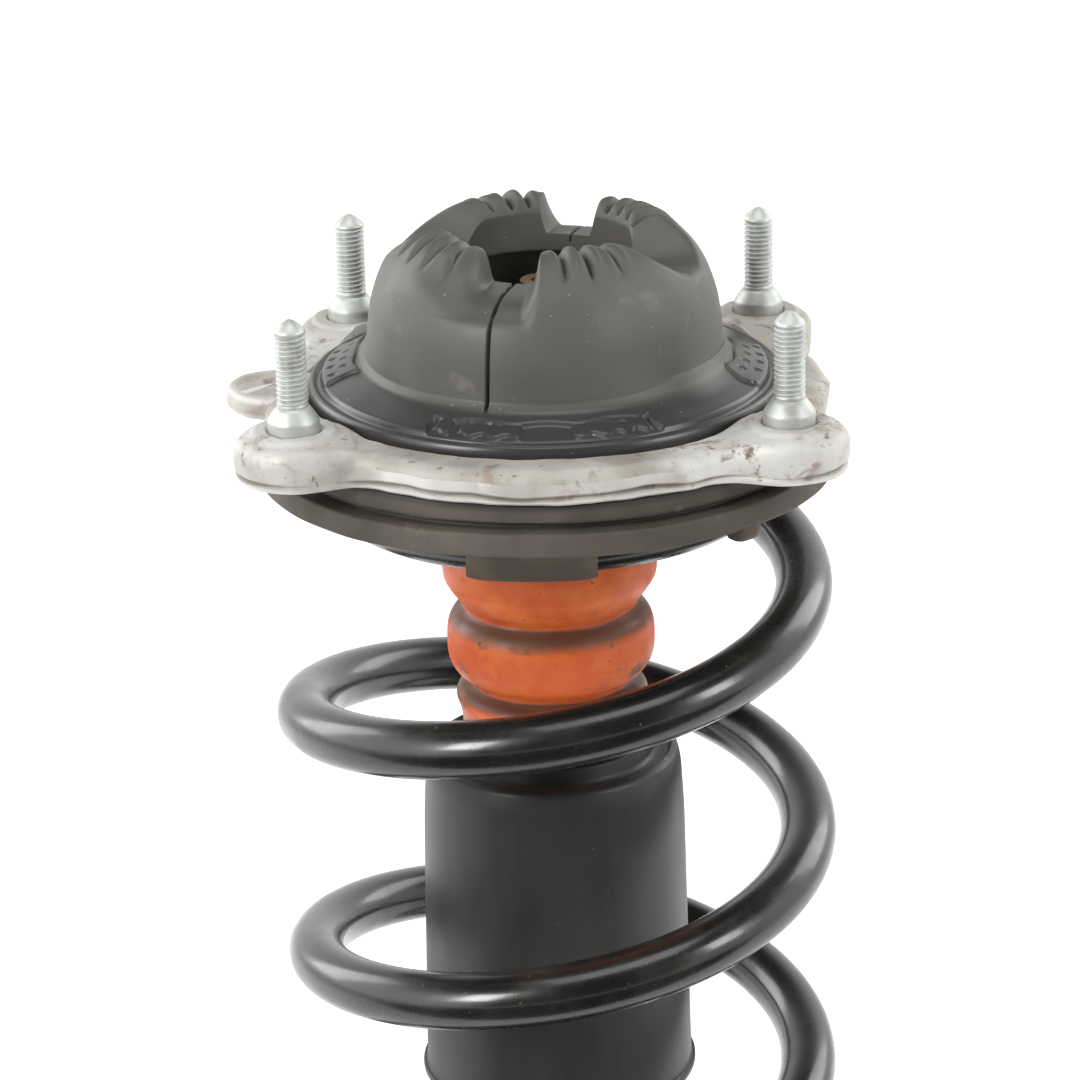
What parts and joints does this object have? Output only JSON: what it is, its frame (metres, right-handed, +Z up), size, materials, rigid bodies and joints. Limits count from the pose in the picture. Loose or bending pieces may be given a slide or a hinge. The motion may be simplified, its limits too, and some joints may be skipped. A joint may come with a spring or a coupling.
{
  "type": "coil-over suspension strut assembly",
  "caption": "Coil-over strut: studded cast top mount with lobed rubber dome, coil spring on rubber seats, bump stop and dust tube over the rod, gas damper with bushed lower eye.",
  "frame": {"origin": "centre of the lower eye's bore", "axes": "+Z up the damper's axis to the top mount; +Y along the lower eye's bore, towards the rear studs"},
  "size_m": [0.162, 0.158, 0.5905],
  "materials": {
    "cast_aluminium": "as-cast, stained",
    "zinc_steel": "zinc plated",
    "mount_rubber": "satin",
    "pad_rubber": "matt, dusty",
    "spring_paint": "gloss black",
    "bumper_foam": "soiled foam",
    "dust_plastic": "satin",
    "rod_chrome": "polished",
    "tube_paint": "satin black",
    "seat_paint": "satin black",
    "plain_steel": "machined",
    "cup_paint": "satin black",
    "nut_steel": "lightly rusted",
    "seal_rubber": "smooth",
    "bearing_bronze": "plain",
    "piston_iron": "sintered",
    "band_plastic": "filled",
    "guide_aluminium": "machined"
  },
  "bodies": {
    "upper": {"top_plate": "cast_aluminium", "mount_studs": "zinc_steel", "rubber_dome": "mount_rubber", "mount_core": "plain_steel", "mount_bushing": "mount_rubber", "upper_washer": "zinc_steel", "rod_nut": "nut_steel", "piston_rod": "rod_chrome", "coil_spring": "spring_paint", "upper_spring_pad": "pad_rubber", "bumper_cup": "cup_paint", "jounce_bumper": "bumper_foam", "piston": "piston_iron", "piston_band": "band_plastic", "compression_shims": "plain_steel", "rebound_shims": "plain_steel", "piston_nut": "plain_steel", "rebound_stop": "plain_steel", "rebound_buffer": "seal_rubber"},
    "dust_shield": {"dust_tube": "dust_plastic"},
    "lower": {"lower_spring_pad": "pad_rubber", "lower_spring_seat": "seat_paint", "seat_ring": "seat_paint", "damper_tube": "tube_paint", "striker_cap": "tube_paint", "rod_guide": "guide_aluminium", "guide_bushing": "bearing_bronze", "guide_o_ring": "seal_rubber", "rod_seal": "seal_rubber", "retaining_ring": "plain_steel", "base_plug": "tube_paint", "lower_eye": "tube_paint", "bush_outer_sleeve": "plain_steel", "bush_rubber": "seal_rubber"},
    "gas_piston": {"floating_piston": "guide_aluminium", "floating_piston_o_ring": "seal_rubber"},
    "bush_sleeve": {"bush_inner_sleeve": "plain_steel"}
  },
  "joints": [
    {"name": "damper_slide", "type": "slide", "parent": "upper", "child": "lower", "axis": [0, 0, 1], "range_m": [0, 0.106], "stiffness_N_per_m": 45000, "springref_m": -0.05, "deforming": ["coil_spring", "jounce_bumper"]},
    {"name": "dust_tube_slide", "type": "slide", "parent": "upper", "child": "dust_shield", "axis": [0, 0, 1], "range_m": [0, 0.0345]},
    {"name": "gas_piston_slide", "type": "slide", "parent": "lower", "child": "gas_piston", "axis": [0, 0, -1], "range_m": [0, 0.01]},
    {"name": "bush_twist", "type": "hinge", "parent": "lower", "child": "bush_sleeve", "pos_m": [0, 0, 0], "axis": [0, 1, 0], "range_deg": [-15, 15], "stiffness_Nm_per_rad": 30}
  ],
  "couplings": [
    {"joint": "dust_tube_slide", "follows": "damper_slide", "ratio": 0.3244},
    {"joint": "gas_piston_slide", "follows": "damper_slide", "ratio": 0.0926}
  ]
}
